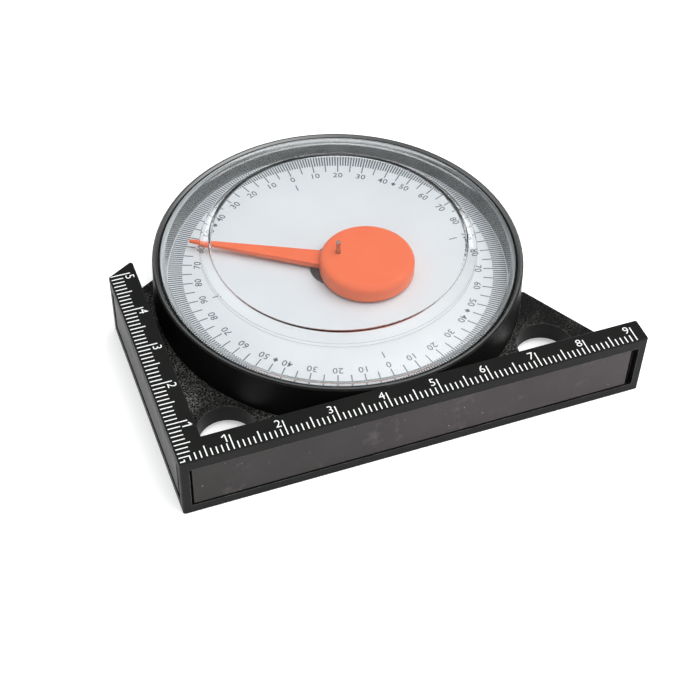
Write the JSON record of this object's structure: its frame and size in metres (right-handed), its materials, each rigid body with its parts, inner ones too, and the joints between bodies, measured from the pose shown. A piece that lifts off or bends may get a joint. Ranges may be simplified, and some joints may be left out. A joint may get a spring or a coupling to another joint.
{
  "type": "inclinometer",
  "caption": "Flat pocket inclinometer: a round dial with a free pendulum pointer under a stepped clear lens, on an L-shaped base with ruler edges and magnet strips.",
  "frame": {"origin": "foot of the dial's axis on the rest plane, the bottom face of the boss that holds the pivot pin", "axes": "+Z along the dial's axis, out of the dial; +X along the long reference edge; +Y away from it"},
  "size_m": [0.0926, 0.0796, 0.0183],
  "materials": {
    "black_abs": "fine spark-eroded grain on the plate, satin on bars and case",
    "flexible_magnet": "dull, lightly scuffed",
    "adhesive": "dull film",
    "dial_white": "printed white sheet",
    "steel": "polished",
    "washer_grey": "satin",
    "bush_brass": "turned",
    "orange_plastic": "satin moulded",
    "clear_lens": "polished clear"
  },
  "bodies": {
    "root": {"base": "black_abs", "front_magnet": "flexible_magnet", "left_magnet": "flexible_magnet", "front_magnet_adhesive": "adhesive", "left_magnet_adhesive": "adhesive", "dial": "dial_white", "pivot_pin": "steel", "thrust_washer": "washer_grey", "lens": "clear_lens"},
    "pendulum": {"pointer": "orange_plastic", "counterweight": "steel", "pivot_bush": "bush_brass"}
  },
  "joints": [
    {"name": "pointer_swing", "type": "hinge", "parent": "root", "child": "pendulum", "pos_m": [0, 0, 0.012], "axis": [0, 0, 1], "continuous": true}
  ]
}
